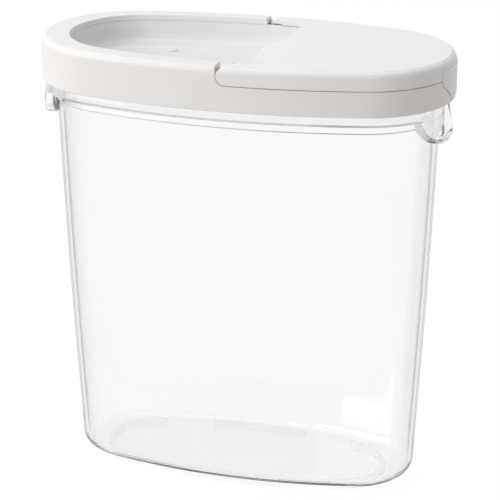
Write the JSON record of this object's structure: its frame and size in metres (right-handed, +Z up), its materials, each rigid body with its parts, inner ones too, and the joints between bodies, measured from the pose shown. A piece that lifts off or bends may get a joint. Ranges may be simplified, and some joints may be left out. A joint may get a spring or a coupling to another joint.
{
  "type": "cereal container",
  "caption": "Clear tapered oval dry-food jar with a white push-on lid, a sunk clear window and a hinged flip-up cover over the pour opening.",
  "frame": {"origin": "middle of the base, on the surface it stands on", "axes": "+Z up; +X along the long side towards the pour end with the flip cover; -Y is the front face"},
  "size_m": [0.1704, 0.0846, 0.1856],
  "materials": {
    "clear_jar_plastic": "clear, polished",
    "white_lid_plastic": "fine satin",
    "translucent_window_plastic": "translucent, smooth",
    "white_cover_plastic": "fine satin",
    "translucent_silicone": "soft, translucent"
  },
  "bodies": {
    "jar": {"jar": "clear_jar_plastic"},
    "lid": {"lid_frame": "white_lid_plastic", "window_deck": "translucent_window_plastic", "jar_seal": "translucent_silicone", "spout_seal": "translucent_silicone"},
    "cover": {"flip_cover": "white_cover_plastic"}
  },
  "joints": [
    {"name": "lid_lift", "type": "slide", "parent": "jar", "child": "lid", "axis": [0, 0, 1], "range_m": [0, 0.06]},
    {"name": "cover_hinge", "type": "hinge", "parent": "lid", "child": "cover", "pos_m": [0.0036, 0, 0.182], "axis": [0, -1, 0], "range_deg": [0, 100]}
  ]
}
